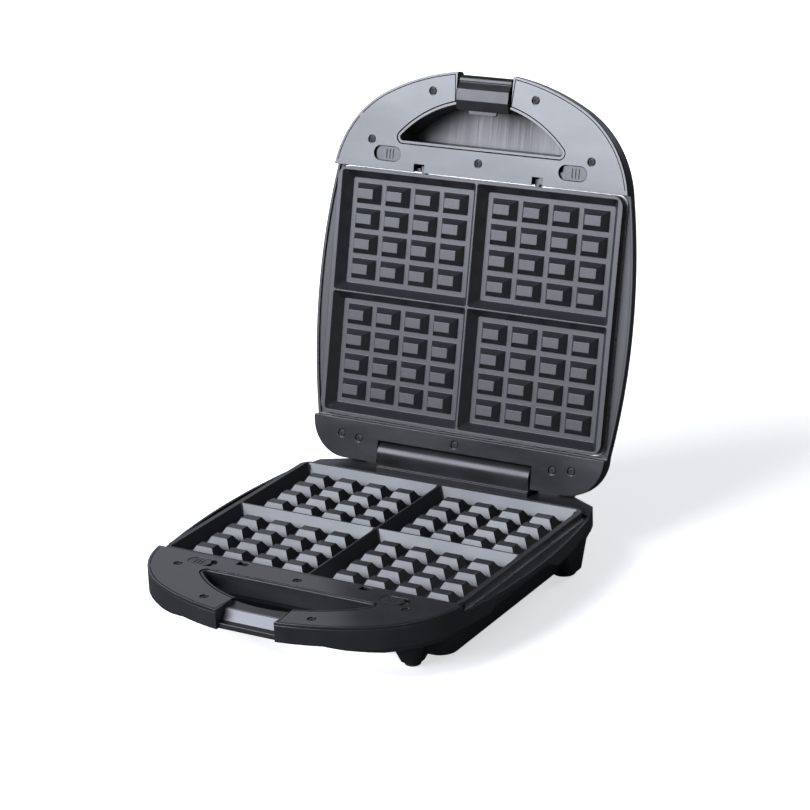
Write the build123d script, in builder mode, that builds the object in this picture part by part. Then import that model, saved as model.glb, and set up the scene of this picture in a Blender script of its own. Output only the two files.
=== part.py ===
from build123d import *
from math import sin, cos, radians, tan
import os

os.makedirs("parts", exist_ok=True)

# Sizes in millimetres. Both halves are drawn about their own plate: x is left to right, y is front (-)
# to back (+), and depth is measured from the plate's rim plane into that half.
rim_height = 53.0          # base plate's rim plane above the table
plates_y = -16.74          # middle of the plates, so that the origin lies below the middle of the whole
halves_gap = 2.0           # rim plane to rim plane when the lid is shut
open_angle = 103.2         # lid angle in the open pose that everything is drawn in

# Plates. Their size leads: the fields come out of it, and both housings are laid out from its edges.
plate_l, plate_w, plate_r = 258.4, 204.6, 9.0
rim_margin_x, rim_margin_y = 4.17375, 2.72875   # plate's edge to the top edge of a field
ridge_x, ridge_y = 1.5475, 1.1375               # flat top of the ridges between the fields
recess_draft = 32.0
plate_depth = 9.54
edge_x, edge_y = 4.37, 4.205                    # floor between a field's wall and its first teeth
channel_x, channel_y = 4.33, 4.17               # floor between two teeth
teeth = 4                                       # teeth each way in a field
block_h = 7.37
block_draft = 30.0
skirt_t = 2.0
skirt_h = 7.2
plate_floor_t = 3.0
web_t = 1.8
lug_x, lug_w = 51.5, 3.7
lug_reach = 6.0
lug_top, lug_bottom = 4.0, 6.4

plate_front, plate_back, plate_side = -plate_w / 2, plate_w / 2, plate_l / 2
flare = plate_depth * tan(radians(recess_draft))
field_l = (plate_l - 2 * rim_margin_x - ridge_x) / 2
field_w = (plate_w - 2 * rim_margin_y - ridge_y) / 2
pocket_l, pocket_w = field_l - 2 * flare, field_w - 2 * flare
pocket_x, pocket_y = (field_l + ridge_x) / 2, (field_w + ridge_y) / 2
block_l = (pocket_l - 2 * edge_x - (teeth - 1) * channel_x) / teeth
block_w = (pocket_w - 2 * edge_y - (teeth - 1) * channel_y) / teeth
pitch_x, pitch_y = block_l + channel_x, block_w + channel_y

# Hinge
hinge_y = plate_back + 26.15   # hinge axis behind the middle of the plates
hinge_z = 8.14                 # hinge axis above the base plate's rim plane
rod_r = 3.0
rod_clear = 0.05
barrel_r = 8.9
barrel_x = 70.0
barrel_gap = 1.0
rod_x = plate_side - 31.2

# The two mating panels stand a little proud of the plate rims.
panel_proud = 0.8
panel_t = 2.0
seam_front_y = plate_front - 1.0   # rear edge of the front panel
seam_rear_y = plate_back + 2.9     # front edge of the lid's rear panel

# Outline of both halves
front_y = plate_front - 86.2
arch_x, arch_y = plate_side - 41.2, plate_front - 64.1
shoulder_x, shoulder_y = plate_side - 9.7, plate_front - 35.2
corner_x, corner_y = plate_side + 3.6, plate_front - 0.7
side_x, side_y = plate_side + 13.1, 5.0
back_corner_x, back_corner_y = plate_side + 4.2, plate_back + 2.7
ear_x, ear_y = plate_side - 3.2, plate_back + 24.1
rear_x, rear_y = plate_side - 25.2, plate_back + 35.2
outline_r = 30.0

# D-shaped finger opening
d_rear_y = plate_front - 23.2
d_radius = 102.0
d_centre_y = plate_front + 38.3
d_corner = 5.0
d_lip = 2.3                # how far the shell's tube wall shows inside the panel's edge
d_wall = 2.2

# Latch notch in both handles
notch_x = 25.0
notch_rear_y = plate_front - 61.3
bridge_y = plate_front - 70.7    # wall behind the striker
bridge_top = 2.2
striker_seat = 10.4
catch_y = plate_front - 81.7     # front edge of the lip that the latch's hook goes under

# Trays
tray_t = 0.8
tray_flange_l, tray_flange_w, tray_r = plate_l + 2.6, plate_w + 2.6, 9.8
tray_bowl_l, tray_bowl_w = plate_l - 5.4, plate_w - 3.6
tray_clear = 0.25
base_tray_depth = 24.0
lid_tray_depth = 22.0

# Heaters
heater_r = 3.25
heater_gap = 0.25
heater_x, heater_y = plate_side - 25.2, plate_back - 24.3
heater_bend = 14.0
terminal_x = 16.0          # where the element's two ends stop
terminal_leg_x, terminal_leg_y, terminal_leg_r = 13.0, heater_y + 8.0, 4.4
terminal_hole_r = 6.0
bead_l, bead_h = 11.0, 5.6
rib_h, rib_t, rib_gap = 2.6, 3.0, 6.0
saddle_y, saddle_w = 40.0, 12.0

# Shells
wall = 2.8
wall_turn, wall_end = 17.0, 21.0   # where the base's side wall starts to turn under, and ends
wall_turn_draft = 38.0
handle_bottom = 14.5       # underside of the middle of the base handle
handle_rise_y = plate_front - 18.7
handle_rise_out, handle_rise_in = plate_side - 31.2, 60.0
belly_bottom = 42.0
belly_l, belly_w, belly_y, belly_r = plate_l + 7.6, plate_w + 41.4, 5.0, 26.0
belly_draft = 27.0
belly_floor = 3.0
well_l, well_w, well_r = belly_l - 30.0, belly_w - 46.0, 14.0
wiring_y, wiring_l, wiring_w = plate_back - 7.3, 150.0, 50.0
scoop_x = plate_side + 1.8
leg_bottom = 50.0
front_pad_x, front_pad_y, front_pad_r = plate_side - 39.2, plate_front - 1.7, 6.2
rear_pad_x, rear_pad_y, rear_pad_r = plate_side - 15.2, plate_back - 8.3, 9.4
side_ledge = 6.8
side_band = 5.4
side_band_w = 2.2
rear_ledge = 5.0
boss_r = 3.4
lid_top = 31.0
lid_top_r = 24.0
lid_roof = 3.0
lid_well_l, lid_well_w = tray_bowl_l - 29.0, tray_bowl_w - 11.0
handle_edge = 4.0          # depth of the lid's handle at its front edge
handle_slope_y = plate_front - 67.2   # where the lid reaches its full depth
lid_handle_bay_depth = 17.0
cover_t = 0.8
cover_clear = 0.2
cover_x, cover_front_y, cover_tip_y = plate_side - 31.2, plate_front - 29.7, plate_front - 65.7
cover_side_x, cover_corner_y = plate_side - 12.4, plate_front + 3.3
cover_bulge_x, cover_rear_y = plate_side - 5.2, plate_back - 2.3
lamp_x, lamp_y, lamp_r, lamp_h = 16.0, plate_front - 10.7, 3.0, 1.4

# Cord inlet
inlet_x, inlet_depth = 62.0, 14.5
inlet_hole_r, inlet_seat_r, inlet_seat_l = 4.5, 6.0, 12.0
cord_r = 3.6
bush_reach = 10.0

# Sliders that hold the plates. In each half both buttons rest at the same end of their slots, so one
# slider is the near form, with its button and finger nearer the middle, and the other the far form.
slot_x, slot_y = plate_side - 45.2, plate_front - 13.6
slot_l, slot_w = 24.8, 12.2
button_l, button_w = 19.2, 11.4
button_shift = (slot_l - button_l) / 2 - 0.1
button_low = 0.3           # how far the button stays below the panel's face
grip_pitch, grip_w, grip_l, grip_depth = 3.0, 0.8, 7.5, 0.5
slide_clear = 0.3
slide_t = 1.6
shelf_x, shelf_y, shelf_l, shelf_w = slot_x - 11.0, slot_y - 0.6, 58.0, 13.2
finger_w = 4.2
finger_gap = 0.5
lug_pocket_w = 16.0

# Screws
screw_head_r, screw_head_t = 2.9, 1.1
screw_seat_r, screw_seat_t = 3.5, 1.5
screw_r = 1.5
screw_clear = 0.3
screw_l = 8.0
screw_tip_gap = 0.5
wing_screw_x, wing_screw_y = plate_side - 29.9, plate_front - 24.0
tip_screw_x, tip_screw_y = 46.3, plate_front - 67.3
front_screws = [(-wing_screw_x, wing_screw_y), (wing_screw_x, wing_screw_y), (-tip_screw_x, tip_screw_y),
                (tip_screw_x, tip_screw_y), (0, plate_front - 13.1)]
outer_ear_x, outer_ear_y = plate_side - 23.2, plate_back + 15.3
inner_ear_x, inner_ear_y = plate_side - 39.9, plate_back + 17.2
rear_screws = [(-outer_ear_x, outer_ear_y), (outer_ear_x, outer_ear_y), (-inner_ear_x, inner_ear_y),
               (inner_ear_x, inner_ear_y), (0, plate_back + 9.8)]
lid_screw_points = front_screws + rear_screws

# Latch, measured in the lid's shut frame like everything of the lid
latch_y, latch_z = plate_front - 78.2, 6.0
latch_pin_r = 1.6
latch_knuckle_r = 4.2
latch_x = 23.4
pocket_depth = 15.0
pin_x = notch_x + 6.0
hook_y = plate_front - 57.1      # inner face of the hook while the latch hangs open
tab_x, tab_tip_y = 12.7, plate_front - 51.4

t = radians(open_angle)
BASE = Plane(origin=(0, plates_y, rim_height), x_dir=(1, 0, 0), z_dir=(0, 0, 1))
BASE_SIDE = Plane(origin=(0, plates_y, rim_height), x_dir=(0, 1, 0), z_dir=(1, 0, 0))
BASE_BACK = Plane(origin=(0, plates_y + rear_y, rim_height), x_dir=(1, 0, 0), z_dir=(0, 1, 0))
lid_o_y = plates_y + hinge_y - hinge_y * cos(t) - hinge_z * sin(t)
lid_o_z = rim_height + hinge_z + hinge_y * sin(t) - hinge_z * cos(t)
SHUT = Plane(origin=(0, lid_o_y, lid_o_z), x_dir=(1, 0, 0), z_dir=(0, sin(t), cos(t)))
LID = SHUT.offset(halves_gap)
LID_SIDE = Plane(origin=SHUT.origin, x_dir=SHUT.y_dir, z_dir=SHUT.x_dir)

# Plan outline shared by both halves
with BuildSketch() as outline:
    with BuildLine():
        ThreePointArc((-arch_x, arch_y), (0, front_y), (arch_x, arch_y))
        ThreePointArc((arch_x, arch_y), (shoulder_x, shoulder_y), (corner_x, corner_y))
        ThreePointArc((corner_x, corner_y), (side_x, side_y), (back_corner_x, back_corner_y))
        ThreePointArc((back_corner_x, back_corner_y), (ear_x, ear_y), (rear_x, rear_y))
        Line((rear_x, rear_y), (-rear_x, rear_y))
        ThreePointArc((-rear_x, rear_y), (-ear_x, ear_y), (-back_corner_x, back_corner_y))
        ThreePointArc((-back_corner_x, back_corner_y), (-side_x, side_y), (-corner_x, corner_y))
        ThreePointArc((-corner_x, corner_y), (-shoulder_x, shoulder_y), (-arch_x, arch_y))
    make_face()
    fillet(outline.vertices(), radius=outline_r)

# D-shaped opening, at the panel's edge
with BuildSketch() as d_panel:
    with Locations((0, d_centre_y)):
        Circle(d_radius)
    with Locations((0, d_rear_y + 200)):
        Rectangle(400, 400, mode=Mode.SUBTRACT)
    fillet(d_panel.vertices(), radius=d_corner)

with BuildSketch() as d_inner:
    offset(d_panel.sketch, amount=-d_lip)

with BuildSketch() as d_outer:
    offset(d_panel.sketch, amount=-d_lip + d_wall)

# Area of the handle in front of the plate seam
with BuildSketch() as handle_area:
    add(outline.sketch)
    with Locations((0, seam_front_y + 250)):
        Rectangle(500, 500, mode=Mode.SUBTRACT)

# Front panel with its openings
with BuildSketch() as front_panel_face:
    add(handle_area.sketch)
    add(d_panel.sketch, mode=Mode.SUBTRACT)
    with Locations((0, notch_rear_y + 18)):
        Rectangle(2 * notch_x, 80, align=(Align.CENTER, Align.MAX), mode=Mode.SUBTRACT)
    with Locations((-slot_x, slot_y), (slot_x, slot_y)):
        SlotOverall(slot_l, slot_w, mode=Mode.SUBTRACT)
    with Locations((-lug_x - 2.1, seam_front_y - 3), (lug_x + 2.1, seam_front_y - 3)):
        Rectangle(9.4, 7.0, mode=Mode.SUBTRACT)


panel_back = panel_t - panel_proud
flange_depth = skirt_h + tray_t
handle_floor = handle_bottom - 3.0
plate_bottom = plate_depth + plate_floor_t
heater_depth = plate_bottom + heater_gap + heater_r
slider_depth = panel_back + slide_clear
finger_shift = lug_w / 2 + finger_gap + finger_w / 2
terminal_legs = (-terminal_leg_x, terminal_leg_x)
terminal_bead = 2 * (terminal_x - terminal_leg_x)

bay_corner = (corner_x - 3.8, corner_y - 3.6)
lid_bay_corner = (corner_x - 6.6, corner_y - 3.6)

# Area inside the handle's outer wall, clear of the finger tube, the notch and the plate bay
with BuildSketch() as handle_bay:
    with BuildLine():
        ThreePointArc((2.0 - arch_x, arch_y + wall), (0, front_y + wall), (arch_x - 2.0, arch_y + wall))
        ThreePointArc((arch_x - 2.0, arch_y + wall), (shoulder_x - 2.9, shoulder_y + 2.5), bay_corner)
        Line(bay_corner, (-bay_corner[0], bay_corner[1]))
        ThreePointArc((-bay_corner[0], bay_corner[1]), (2.9 - shoulder_x, shoulder_y + 2.5),
                      (2.0 - arch_x, arch_y + wall))
    make_face()
    add(d_outer.sketch, mode=Mode.SUBTRACT)
    with Locations((0, notch_rear_y - 18)):
        Rectangle(2 * (notch_x + wall), 40, mode=Mode.SUBTRACT)

# The lid's handle is rounded on top, so its hollow keeps further in
with BuildSketch() as lid_handle_bay:
    with BuildLine():
        ThreePointArc((6.0 - arch_x, arch_y + 6.4), (0, front_y + 7.4), (arch_x - 6.0, arch_y + 6.4))
        ThreePointArc((arch_x - 6.0, arch_y + 6.4), (shoulder_x - 7.1, shoulder_y + 5.5), lid_bay_corner)
        Line(lid_bay_corner, (-lid_bay_corner[0], lid_bay_corner[1]))
        ThreePointArc((-lid_bay_corner[0], lid_bay_corner[1]), (7.1 - shoulder_x, shoulder_y + 5.5),
                      (6.0 - arch_x, arch_y + 6.4))
    make_face()
    add(d_outer.sketch, mode=Mode.SUBTRACT)
    with Locations((0, notch_rear_y - 18)):
        Rectangle(2 * (notch_x + 18), 40, mode=Mode.SUBTRACT)

# Shelf that each pair of sliders runs on
with BuildSketch() as slider_shelf:
    with Locations((-shelf_x, shelf_y), (shelf_x, shelf_y)):
        Rectangle(shelf_l, shelf_w)

# Band along each side where the shell shows outside the plate
band_end_y = back_corner_y - 1.0
with BuildSketch() as side_step:
    with BuildLine():
        ThreePointArc((corner_x - side_band_w, seam_front_y), (side_x - side_band_w, side_y),
                      (back_corner_x - side_band_w, band_end_y))
        Line((back_corner_x - side_band_w, band_end_y), (side_band_w - back_corner_x, band_end_y))
        ThreePointArc((side_band_w - back_corner_x, band_end_y), (side_band_w - side_x, side_y),
                      (side_band_w - corner_x, seam_front_y))
        Line((side_band_w - corner_x, seam_front_y), (corner_x - side_band_w, seam_front_y))
    make_face()

# Steel cover of the lid: its seat, and the cover itself a hair smaller
cover_shapes = []
for edge_clear in (0.0, cover_clear):
    with BuildSketch() as cover_shape:
        with BuildLine():
            ThreePointArc((-cover_x, cover_front_y), (0, cover_tip_y + edge_clear), (cover_x, cover_front_y))
            Line((cover_x, cover_front_y), (cover_side_x - edge_clear, cover_corner_y))
            ThreePointArc((cover_side_x - edge_clear, cover_corner_y), (cover_bulge_x - edge_clear, side_y),
                          (cover_side_x - edge_clear, cover_rear_y - edge_clear))
            Line((cover_side_x - edge_clear, cover_rear_y - edge_clear),
                 (-cover_side_x + edge_clear, cover_rear_y - edge_clear))
            ThreePointArc((-cover_side_x + edge_clear, cover_rear_y - edge_clear),
                          (-cover_bulge_x + edge_clear, side_y), (-cover_side_x + edge_clear, cover_corner_y))
            Line((-cover_side_x + edge_clear, cover_corner_y), (-cover_x, cover_front_y))
        make_face()
        fillet(cover_shape.vertices(), radius=10)
    cover_shapes.append(cover_shape.sketch)

# Lower housing: side wall, turned-under belly, handle and legs in one moulding
with BuildPart() as base_shell:
    with BuildSketch(BASE.offset(-panel_back)):
        add(outline.sketch)
    extrude(amount=-(wall_turn - panel_back))
    with BuildSketch(BASE.offset(-wall_turn)):
        add(outline.sketch)
    extrude(amount=-(wall_end - wall_turn), taper=wall_turn_draft)
    with BuildSketch(BASE.offset(-wall_turn)):
        with Locations((0, belly_y)):
            RectangleRounded(belly_l, belly_w, belly_r)
    extrude(amount=-(belly_bottom - wall_turn), taper=belly_draft)
    # handle underside rises towards the middle
    with BuildSketch(Plane(origin=(0, plates_y + handle_rise_y, rim_height), x_dir=(1, 0, 0),
                           z_dir=(0, -1, 0))):
        with BuildLine():
            Polyline((-handle_rise_out, -wall_end - 4), (-handle_rise_out, -wall_end),
                     (-handle_rise_in, -handle_bottom), (handle_rise_in, -handle_bottom),
                     (handle_rise_out, -wall_end), (handle_rise_out, -wall_end - 4), close=True)
        make_face()
    extrude(amount=90, mode=Mode.SUBTRACT)
    # side walls are cut away below a line that dips between a hand scoop and the rear leg
    for side in (1, -1):
        with BuildSketch(BASE_SIDE.offset(side * scoop_x)):
            with BuildLine():
                Polyline((plate_front + 28.3, -22), (plate_front + 40.3, -9.5), (12, -9.5), (42, -22.5),
                         (plate_back - 14.3, -12), (plate_back + 9.7, -9), (plate_back + 9.7, -34),
                         (plate_front + 28.3, -34), close=True)
            make_face()
        extrude(amount=side * 20, mode=Mode.SUBTRACT)
    # rear corners are cut off flat above the legs
    with BuildSketch(BASE.offset(10)):
        for side in (1, -1):
            with BuildLine():
                Polyline((side * (rear_x - 6.0), rear_y - 0.3), (side * (ear_x + 0.3), ear_y - 5.2),
                         (side * (back_corner_x + 0.8), back_corner_y - 8.0),
                         (side * (side_x + 20), back_corner_y - 8.0), (side * (side_x + 20), rear_y + 20),
                         (side * (rear_x - 6.0), rear_y + 20), close=True)
            make_face()
    extrude(amount=-60, mode=Mode.SUBTRACT)
    # legs
    for side in (1, -1):
        with BuildSketch(BASE.offset(-33)):
            with Locations((side * front_pad_x, front_pad_y + 3)):
                RectangleRounded(31, 29, 5)
        with BuildSketch(BASE.offset(-leg_bottom)):
            with Locations((side * front_pad_x, front_pad_y)):
                RectangleRounded(15, 15, 4)
        loft()
        with BuildSketch(BASE.offset(-wall_turn + 4)):
            with Locations((side * (rear_pad_x - 7.5), rear_pad_y - 2)):
                RectangleRounded(40, 54, 4)
        with BuildSketch(BASE.offset(-leg_bottom)):
            with Locations((side * rear_pad_x, rear_pad_y - 1)):
                RectangleRounded(22.5, 24, 4)
        loft()
    # everything behind the front panel drops to the ledge level
    with BuildSketch(BASE.offset(-rear_ledge)):
        with Locations((0, seam_front_y + 250)):
            Rectangle(500, 500)
    extrude(amount=20, mode=Mode.SUBTRACT)
    with BuildSketch(BASE.offset(-side_ledge)):
        add(side_step.sketch)
    extrude(amount=20, mode=Mode.SUBTRACT)
    # bay for the tray, plate and wiring
    with BuildSketch(BASE.offset(-flange_depth)):
        RectangleRounded(tray_flange_l + 2 * tray_clear, tray_flange_w + 2 * tray_clear, 10)
    extrude(amount=20, mode=Mode.SUBTRACT)
    with BuildSketch(BASE.offset(-base_tray_depth - tray_clear)):
        RectangleRounded(tray_bowl_l + 2 * tray_clear, tray_bowl_w + 2 * tray_clear, 10)
    extrude(amount=30, mode=Mode.SUBTRACT)
    with BuildSketch(BASE.offset(belly_floor - belly_bottom)):
        RectangleRounded(well_l, well_w, well_r)
    extrude(amount=30, mode=Mode.SUBTRACT)
    with BuildSketch(BASE.offset(belly_floor - belly_bottom)):
        with Locations((0, wiring_y)):
            RectangleRounded(wiring_l, wiring_w, 6)
    extrude(amount=belly_bottom - belly_floor - 10.0, mode=Mode.SUBTRACT)
    # hollow of the handle, with screw bosses and slider shelves left standing
    with BuildSketch(BASE.offset(-handle_floor)):
        add(handle_bay.sketch)
        with Locations(front_screws):
            Circle(boss_r, mode=Mode.SUBTRACT)
        add(slider_shelf.sketch, mode=Mode.SUBTRACT)
    extrude(amount=20, mode=Mode.SUBTRACT)
    with BuildSketch(BASE.offset(-slider_depth - slide_t - slide_clear)):
        add(slider_shelf.sketch)
        with Locations((-lug_x, plate_front - 4.9), (lug_x, plate_front - 4.9)):
            Rectangle(lug_pocket_w, 7.2)
    extrude(amount=20, mode=Mode.SUBTRACT)
    with BuildSketch(BASE.offset(-lug_bottom - 0.4)):
        with Locations((-lug_x, plate_front - 4.1), (lug_x, plate_front - 4.1)):
            Rectangle(lug_w + 1.0, 6.4)
    extrude(amount=20, mode=Mode.SUBTRACT)
    # finger opening with its tube lip
    with BuildSketch(BASE.offset(-panel_back)):
        add(d_outer.sketch)
    extrude(amount=panel_back + panel_proud - 0.4)
    with BuildSketch(BASE.offset(5)):
        add(d_inner.sketch)
    extrude(amount=-60, mode=Mode.SUBTRACT)
    # latch notch: bridge, seat for the striker, and the lip that the hook catches
    with BuildSketch(BASE.offset(-bridge_top)):
        with Locations((0, notch_rear_y - 14)):
            Rectangle(2 * notch_x, 48)
    extrude(amount=20, mode=Mode.SUBTRACT)
    with BuildSketch(BASE.offset(-striker_seat)):
        with Locations((0, bridge_y - 20)):
            Rectangle(2 * notch_x, 40)
    extrude(amount=20, mode=Mode.SUBTRACT)
    with BuildSketch(BASE.offset(-60)):
        with Locations((0, catch_y - 20)):
            Rectangle(2 * notch_x, 40)
    extrude(amount=80, mode=Mode.SUBTRACT)
    with Locations(*[BASE * Location((x, y, -panel_back)) for x, y in front_screws]):
        Hole(screw_r, depth=screw_l)
    # cord inlet through the rear wall
    with Locations(BASE_BACK * Location((inlet_x, inlet_depth, 0))):
        CounterBoreHole(inlet_hole_r, inlet_seat_r, inlet_seat_l, depth=60)

base_shell.part.label = "base_shell"
export_step(base_shell.part, "parts/base_shell.step")

# Front panel of the lower handle
with BuildPart() as base_panel:
    with BuildSketch(BASE.offset(-panel_back)):
        add(front_panel_face.sketch)
    extrude(amount=panel_t)
    with Locations(*[BASE * Location((x, y, panel_proud)) for x, y in front_screws]):
        CounterBoreHole(screw_r + screw_clear, screw_seat_r, screw_seat_t)

base_panel.part.label = "base_panel"
export_step(base_panel.part, "parts/base_panel.step")

# Striker: the slanted wedge in the notch that guides the latch home
with BuildPart() as striker:
    with BuildSketch(BASE_SIDE.offset(-notch_x + 0.2)):
        with BuildLine():
            Polyline((bridge_y, -bridge_top - 0.2), (bridge_y - 1.6, -bridge_top - 0.2),
                     (bridge_y - 5.6, 0.1 - striker_seat), (bridge_y, 0.1 - striker_seat), close=True)
        make_face()
    extrude(amount=2 * notch_x - 0.4)

striker.part.label = "striker"
export_step(striker.part, "parts/striker.step")

# Stamped tray under the lower plate: flange, bowl, and slots that the element ends pass
with BuildPart() as base_tray:
    with BuildSketch(BASE.offset(-skirt_h)):
        RectangleRounded(tray_flange_l, tray_flange_w, tray_r)
    extrude(amount=-tray_t)
    with BuildSketch(BASE.offset(-skirt_h)):
        RectangleRounded(tray_bowl_l, tray_bowl_w, tray_r)
    extrude(amount=-(base_tray_depth - skirt_h))
    with BuildSketch(BASE.offset(-base_tray_depth + tray_t)):
        RectangleRounded(tray_bowl_l - 2 * tray_t, tray_bowl_w - 2 * tray_t, tray_r - tray_t)
    extrude(amount=40, mode=Mode.SUBTRACT)
    with Locations(*[BASE * Location((x, terminal_leg_y, -base_tray_depth)) for x in terminal_legs]):
        Cylinder(terminal_hole_r, 6, mode=Mode.SUBTRACT)

base_tray.part.label = "base_tray"
export_step(base_tray.part, "parts/base_tray.step")

# Corners of one heating element's loop, open at the back
heater_loop = [(-terminal_x, heater_y), (-heater_x, heater_y), (-heater_x, -heater_y),
               (heater_x, -heater_y), (heater_x, heater_y), (terminal_x, heater_y)]

# Waffle plate, shared by both halves: drawn in its own frame, rim at z = 0, recesses opening upwards
with BuildPart() as plate:
    with BuildSketch():
        RectangleRounded(plate_l, plate_w, plate_r)
    extrude(amount=-skirt_h)
    with BuildSketch(Plane.XY.offset(-skirt_h)):
        RectangleRounded(plate_l - 2 * skirt_t, plate_w - 2 * skirt_t, plate_r - skirt_t)
    extrude(amount=skirt_h - web_t, mode=Mode.SUBTRACT)
    with BuildSketch():
        RectangleRounded(plate_l - 2 * skirt_t, plate_w - 2 * skirt_t, plate_r - skirt_t)
    extrude(amount=-plate_bottom, taper=recess_draft)
    for pocket_place in GridLocations(2 * pocket_x, 2 * pocket_y, 2, 2):
        with BuildSketch(Plane.XY.offset(-plate_depth)):
            with Locations(pocket_place):
                RectangleRounded(pocket_l, pocket_w, 1.5)
        with BuildSketch():
            with Locations(pocket_place):
                RectangleRounded(field_l, field_w, 2.0)
        loft(mode=Mode.SUBTRACT)
    with BuildSketch(Plane.XY.offset(-plate_depth)):
        with GridLocations(2 * pocket_x, 2 * pocket_y, 2, 2):
            with GridLocations(pitch_x, pitch_y, teeth, teeth):
                Rectangle(block_l, block_w)
    extrude(amount=block_h, taper=block_draft)
    # raised ribs under the floor that the element nests between
    with BuildSketch(Plane.XY.offset(-plate_bottom)):
        for reach, mode in ((rib_gap + rib_t, Mode.ADD), (rib_gap, Mode.SUBTRACT), (-rib_gap, Mode.ADD),
                            (-rib_gap - rib_t, Mode.SUBTRACT)):
            RectangleRounded(2 * (heater_x + reach), 2 * (heater_y + reach), heater_bend + reach, mode=mode)
        with Locations((0, heater_y + 4)):
            Rectangle(2 * terminal_x + 8, 30, mode=Mode.SUBTRACT)
    extrude(amount=-rib_h)

with BuildPart(BASE) as base_plate:
    add(plate.part)

base_plate.part.label = "base_plate"
export_step(base_plate.part, "parts/base_plate.step")

# Steel lugs riveted to the front of each plate's skirt, which the sliders hold down
lug_mid = (lug_top + lug_bottom) / 2
for lug_name, lug_at in (("base_plate_lug_left", BASE * Location((-lug_x, -plate_w / 2, -lug_mid))),
                         ("base_plate_lug_right", BASE * Location((lug_x, -plate_w / 2, -lug_mid))),
                         ("lid_plate_lug_left", LID * Location((-lug_x, -plate_w / 2, lug_mid))),
                         ("lid_plate_lug_right", LID * Location((lug_x, -plate_w / 2, lug_mid)))):
    with BuildPart() as lug:
        with Locations(lug_at):
            Box(lug_w, lug_reach, lug_bottom - lug_top, align=(Align.CENTER, Align.MAX, Align.CENTER))
    lug.part.label = lug_name
    export_step(lug.part, "parts/" + lug_name + ".step")

# Lower heating element with its two ends turned down into the terminals
with BuildPart() as base_heater:
    with BuildLine(BASE.offset(-heater_depth)) as base_heater_path:
        FilletPolyline(*heater_loop, radius=heater_bend)
    with BuildSketch(Plane(base_heater_path.line @ 0, z_dir=base_heater_path.line % 0)):
        Circle(heater_r)
    sweep(path=base_heater_path.line)

base_heater.part.label = "base_heater"
export_step(base_heater.part, "parts/base_heater.step")

# Ceramic ends and tabs of the element, standing in the tray's two holes
with BuildPart() as base_terminals:
    with Locations(*[BASE * Location((x, terminal_leg_y, -base_tray_depth - 4)) for x in terminal_legs]):
        Cylinder(terminal_leg_r, 12.0, align=(Align.CENTER, Align.CENTER, Align.MIN))
        Box(5.0, 0.8, 7.0, align=(Align.CENTER, Align.CENTER, Align.MAX))
    with Locations(*[BASE * Location((x, heater_y - heater_r, -heater_depth)) for x in terminal_legs]):
        Box(terminal_bead, bead_l, bead_h, align=(Align.CENTER, Align.MIN, Align.CENTER))

base_terminals.part.label = "base_terminals"
export_step(base_terminals.part, "parts/base_terminals.step")

# Sheet saddles that carry the element over the tray
saddle_h = base_tray_depth - tray_t - heater_depth - heater_r
saddle_points = [(-heater_x, -saddle_y), (-heater_x, saddle_y), (heater_x, -saddle_y), (heater_x, saddle_y),
                 (0, -heater_y)]
with BuildPart() as base_saddles:
    with Locations(*[BASE * Location((x, y, -base_tray_depth + tray_t)) for x, y in saddle_points]):
        Box(saddle_w, saddle_w, saddle_h, align=(Align.CENTER, Align.CENTER, Align.MIN))

base_saddles.part.label = "base_saddles"
export_step(base_saddles.part, "parts/base_saddles.step")

# Thermostat under the tray, with its two tabs
with BuildPart() as base_thermostat:
    with Locations(BASE * Location((0, 0, -base_tray_depth))):
        Cylinder(9.5, 6.0, align=(Align.CENTER, Align.CENTER, Align.MAX))
    with Locations(BASE * Location((0, 0, -base_tray_depth))):
        Box(34, 9, 1.0, align=(Align.CENTER, Align.CENTER, Align.MAX))
    with Locations(*[BASE * Location((x, 0, -base_tray_depth - 6)) for x in (-4, 4)]):
        Box(0.8, 5, 4.5, align=(Align.CENTER, Align.CENTER, Align.MAX))

base_thermostat.part.label = "base_thermostat"
export_step(base_thermostat.part, "parts/base_thermostat.step")

# Terminal block on the floor of the base, with one screw hole for each of the three wires
block_x, block_y, wire_pitch = 30.0, plate_back + 5.7, 14.5
with BuildPart(BASE * Location((block_x, block_y, belly_floor - belly_bottom))) as terminal_block:
    Box(44, 14, 12, align=(Align.CENTER, Align.CENTER, Align.MIN))
    with Locations((-wire_pitch, 0, 12), (0, 0, 12), (wire_pitch, 0, 12)):
        Hole(2.0, depth=5)

terminal_block.part.label = "terminal_block"
export_step(terminal_block.part, "parts/terminal_block.step")

# Rubber bush of the cord inlet
with BuildPart() as cord_bush:
    with BuildSketch(BASE_BACK.offset(-inlet_seat_l)):
        with Locations((inlet_x, inlet_depth)):
            Circle(inlet_seat_r - 0.1)
    extrude(amount=inlet_seat_l)
    with BuildSketch(BASE_BACK):
        with Locations((inlet_x, inlet_depth)):
            Circle(inlet_seat_r + 2.0)
    extrude(amount=bush_reach, taper=12)
    with BuildSketch(BASE_BACK.offset(-inlet_seat_l - 1)):
        with Locations((inlet_x, inlet_depth)):
            Circle(cord_r)
    extrude(amount=inlet_seat_l + bush_reach + 2, mode=Mode.SUBTRACT)

cord_bush.part.label = "cord_bush"
export_step(cord_bush.part, "parts/cord_bush.step")

# Rubber pads under the legs
with BuildPart() as foot_pads:
    with BuildSketch(BASE.offset(-leg_bottom)):
        with Locations((-front_pad_x, front_pad_y), (front_pad_x, front_pad_y)):
            Circle(front_pad_r)
        with Locations((-rear_pad_x, rear_pad_y), (rear_pad_x, rear_pad_y)):
            Circle(rear_pad_r)
    extrude(amount=-(rim_height - leg_bottom))
    chamfer(foot_pads.faces().sort_by(Axis.Z)[:4].edges(), 0.6)

foot_pads.part.label = "foot_pads"
export_step(foot_pads.part, "parts/foot_pads.step")

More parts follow.
